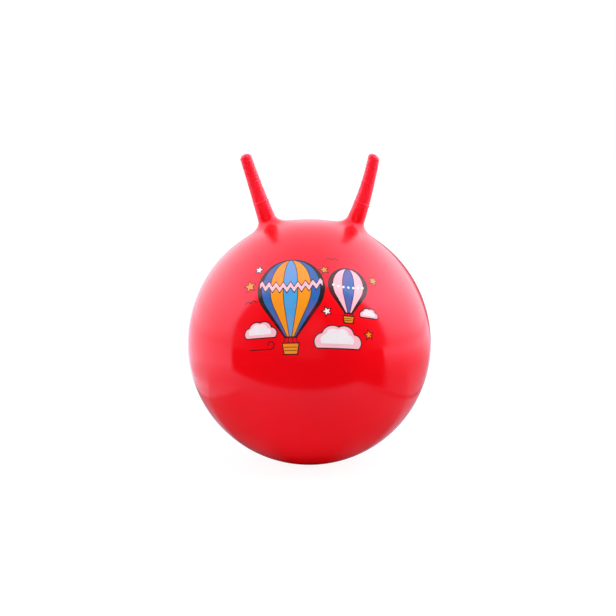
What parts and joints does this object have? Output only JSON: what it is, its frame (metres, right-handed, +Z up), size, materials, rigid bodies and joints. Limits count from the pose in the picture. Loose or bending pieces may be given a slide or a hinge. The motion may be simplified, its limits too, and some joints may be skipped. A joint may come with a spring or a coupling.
{
  "type": "hopper ball",
  "caption": "Inflated soft-vinyl ball for a child to sit and bounce on, with hollow ringed grip horns on the crown, a printed front and a push-in air plug behind the horns.",
  "frame": {"origin": "middle of the flat patch on which the ball rests, on the floor", "axes": "+Z up through the crown, -Y out of the printed front, +X from the left horn to the right horn as seen from the front"},
  "size_m": [0.45, 0.45, 0.572],
  "materials": {
    "red_vinyl": "high gloss soft vinyl, saturated red",
    "seat_vinyl": "satin soft vinyl, darker red",
    "plug_plastic": "satin natural white polythene"
  },
  "bodies": {
    "ball": {"ball_shell": "red_vinyl", "left_horn": "red_vinyl", "right_horn": "red_vinyl", "valve_seat": "seat_vinyl"},
    "plug": {"valve_plug": "plug_plastic"}
  },
  "joints": [
    {"name": "plug_pull", "type": "slide", "parent": "ball", "child": "plug", "axis": [0, 0.6748, 0.738], "range_m": [0, 0.028]}
  ]
}
